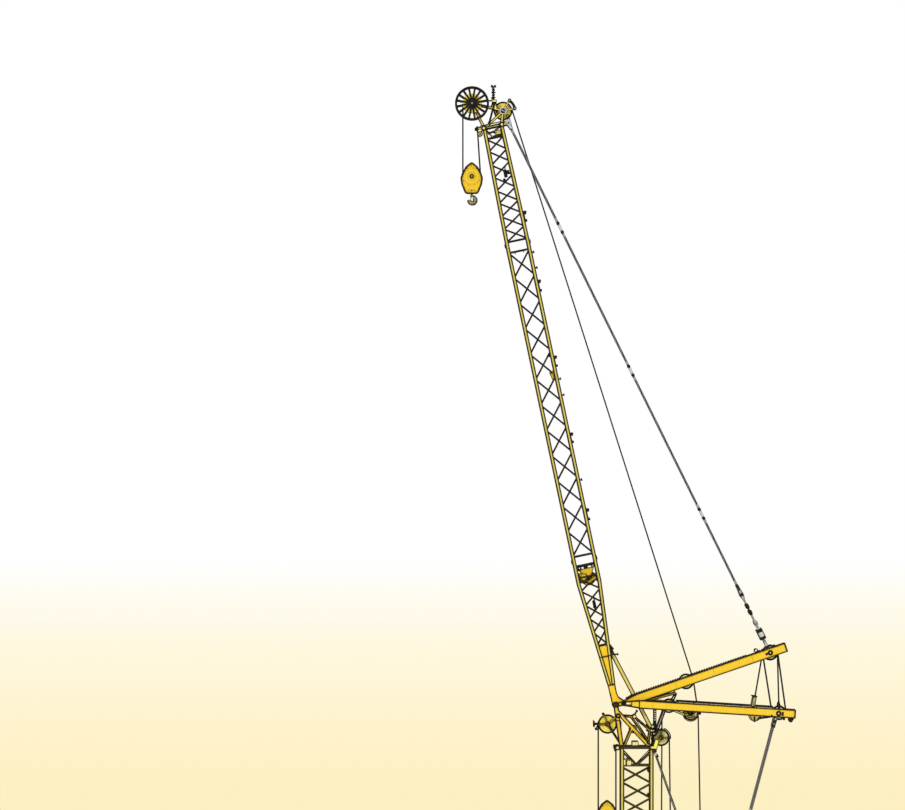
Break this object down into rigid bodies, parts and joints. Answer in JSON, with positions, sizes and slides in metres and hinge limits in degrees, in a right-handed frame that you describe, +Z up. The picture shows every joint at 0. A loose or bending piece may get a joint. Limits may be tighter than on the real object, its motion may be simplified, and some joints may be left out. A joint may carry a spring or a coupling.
{
  "type": "crawler crane luffing jib rig, 1:2 scale model",
  "caption": "Head of a lattice boom with a hinged lattice luffing jib, box masts, pendants, rope sheaves and hanging hook blocks, as a half-size scale model.",
  "frame": {"origin": "middle of the boom on the flat underside of its end frame", "axes": "+X to the rear of the crane, +Y to its right-hand side seen from the operator's seat, +Z up the upright boom"},
  "size_m": [12.6282, 1.4604, 28.9418],
  "materials": {
    "yellow_paint": "gloss",
    "lattice_yellow": "gloss",
    "dark_bracing": "satin",
    "dark_steel": "satin",
    "wheel_black": "matte",
    "wire_rope": "greased",
    "pendant_rope": "galvanised",
    "hook_steel": "forged"
  },
  "bodies": {
    "rig": {"boom_end_frame": "lattice_yellow", "boom_left_side": "lattice_yellow", "boom_right_side": "lattice_yellow", "boom_front_bracing": "dark_bracing", "boom_rear_bracing": "dark_bracing", "boom_head_beams": "dark_bracing", "boom_head_left_frame": "yellow_paint", "boom_head_right_frame": "yellow_paint", "boom_head_crossbars": "yellow_paint", "front_sheave_arms": "dark_steel", "rear_sheave_bracket": "yellow_paint", "head_winch": "dark_steel", "mast_rest_post": "dark_steel", "boom_pendants": "pendant_rope", "lower_mast_left": "yellow_paint", "lower_mast_right": "yellow_paint", "lower_mast_crossbars": "yellow_paint", "lower_mast_fittings": "dark_steel", "lower_mast_pendants": "pendant_rope", "running_ropes": "wire_rope", "hoist_rope_link": "wire_rope", "luffing_ropes": "wire_rope"},
    "luffing_jib": {"jib_foot_left": "lattice_yellow", "jib_foot_right": "lattice_yellow", "jib_foot_bracing": "dark_bracing", "jib_middle_left": "lattice_yellow", "jib_middle_right": "lattice_yellow", "jib_middle_front": "dark_bracing", "jib_middle_rear": "dark_bracing", "jib_head_left": "lattice_yellow", "jib_head_right": "lattice_yellow", "jib_head_bracing": "dark_bracing", "jib_head_frame": "yellow_paint", "jib_light_mast": "dark_steel", "jib_backstops": "lattice_yellow", "upper_mast_left": "yellow_paint", "upper_mast_right": "yellow_paint", "upper_mast_crossbars": "yellow_paint", "jib_pendants": "pendant_rope", "jib_hoist_rope": "wire_rope"},
    "running_wheels": {"running_wheels": "wheel_black"},
    "head_sheaves": {"head_sheaves": "yellow_paint"},
    "deflection_sheave": {"deflection_sheave": "yellow_paint"},
    "jib_foot_sheave": {"jib_foot_sheave": "yellow_paint"},
    "upper_guide_sheave": {"upper_guide_sheave": "yellow_paint"},
    "upper_tip_sheaves": {"upper_tip_sheaves": "yellow_paint"},
    "lower_guide_sheave": {"lower_guide_sheave": "yellow_paint"},
    "lower_inner_sheave": {"lower_inner_sheave": "yellow_paint"},
    "lower_tip_sheaves": {"lower_tip_sheaves": "yellow_paint"},
    "front_sheaves": {"front_sheaves": "yellow_paint"},
    "rear_sheaves": {"rear_sheaves": "yellow_paint"},
    "jib_hook_block": {"jib_hook_block": "yellow_paint", "jib_falls": "wire_rope", "jib_dead_end_fall": "wire_rope"},
    "jib_hook": {"jib_hook": "hook_steel"},
    "boom_hook_block": {"boom_hook_block": "yellow_paint", "boom_falls": "wire_rope"},
    "boom_hook": {"boom_hook": "hook_steel"}
  },
  "joints": [
    {"name": "jib_luff", "type": "hinge", "parent": "rig", "child": "luffing_jib", "pos_m": [-0.78, 0, 5.958], "axis": [0, -1, 0], "range_deg": [0, 60], "deforming": ["luffing_ropes", "hoist_rope_link"]},
    {"name": "jib_hook_hang", "type": "hinge", "parent": "luffing_jib", "child": "jib_hook_block", "pos_m": [-6.11221, 0, 28.28838], "axis": [0, -1, 0], "range_deg": [-60, 0], "deforming": ["jib_dead_end_fall"]},
    {"name": "jib_hook_swivel", "type": "hinge", "parent": "jib_hook_block", "child": "jib_hook", "pos_m": [-6.12319, 0, 24.88838], "axis": [0, 0, 1], "continuous": true},
    {"name": "boom_hoist", "type": "slide", "parent": "rig", "child": "boom_hook_block", "axis": [0, 0, 1], "range_m": [-0.6, 1.8], "deforming": ["boom_falls"]},
    {"name": "boom_hook_swivel", "type": "hinge", "parent": "boom_hook_block", "child": "boom_hook", "pos_m": [-1.09414, 0, 1.198], "axis": [0, 0, 1], "continuous": true},
    {"name": "running_wheel_spin", "type": "hinge", "parent": "luffing_jib", "child": "running_wheels", "pos_m": [-6.11221, 0, 28.28838], "axis": [0, -1, 0], "continuous": true},
    {"name": "head_sheave_spin", "type": "hinge", "parent": "luffing_jib", "child": "head_sheaves", "pos_m": [-6.11221, 0, 28.28838], "axis": [0, -1, 0], "continuous": true},
    {"name": "deflection_sheave_spin", "type": "hinge", "parent": "luffing_jib", "child": "deflection_sheave", "pos_m": [-4.96004, 0, 28.00998], "axis": [0, -1, 0], "continuous": true},
    {"name": "jib_foot_sheave_spin", "type": "hinge", "parent": "luffing_jib", "child": "jib_foot_sheave", "pos_m": [-1.80429, 0, 10.67312], "axis": [0, -1, 0], "continuous": true},
    {"name": "upper_guide_sheave_spin", "type": "hinge", "parent": "luffing_jib", "child": "upper_guide_sheave", "pos_m": [1.83919, 0, 6.82059], "axis": [0, -1, 0], "continuous": true},
    {"name": "upper_tip_sheave_spin", "type": "hinge", "parent": "luffing_jib", "child": "upper_tip_sheaves", "pos_m": [4.96035, 0, 7.8953], "axis": [0, -1, 0], "continuous": true},
    {"name": "lower_guide_sheave_spin", "type": "hinge", "parent": "rig", "child": "lower_guide_sheave", "pos_m": [2.01029, 0, 5.6447], "axis": [0, -1, 0], "continuous": true},
    {"name": "lower_inner_sheave_spin", "type": "hinge", "parent": "rig", "child": "lower_inner_sheave", "pos_m": [1.20766, 0, 5.91463], "axis": [0, -1, 0], "continuous": true},
    {"name": "lower_tip_sheave_spin", "type": "hinge", "parent": "rig", "child": "lower_tip_sheaves", "pos_m": [5.29258, 0, 5.65763], "axis": [0, -1, 0], "continuous": true},
    {"name": "front_sheave_spin", "type": "hinge", "parent": "rig", "child": "front_sheaves", "pos_m": [-1.077, 0, 5.238], "axis": [0, -1, 0], "continuous": true},
    {"name": "rear_sheave_spin", "type": "hinge", "parent": "rig", "child": "rear_sheaves", "pos_m": [0.91, 0, 4.738], "axis": [0, -1, 0], "continuous": true}
  ],
  "couplings": [
    {"joint": "jib_hook_hang", "follows": "jib_luff", "ratio": -1}
  ]
}
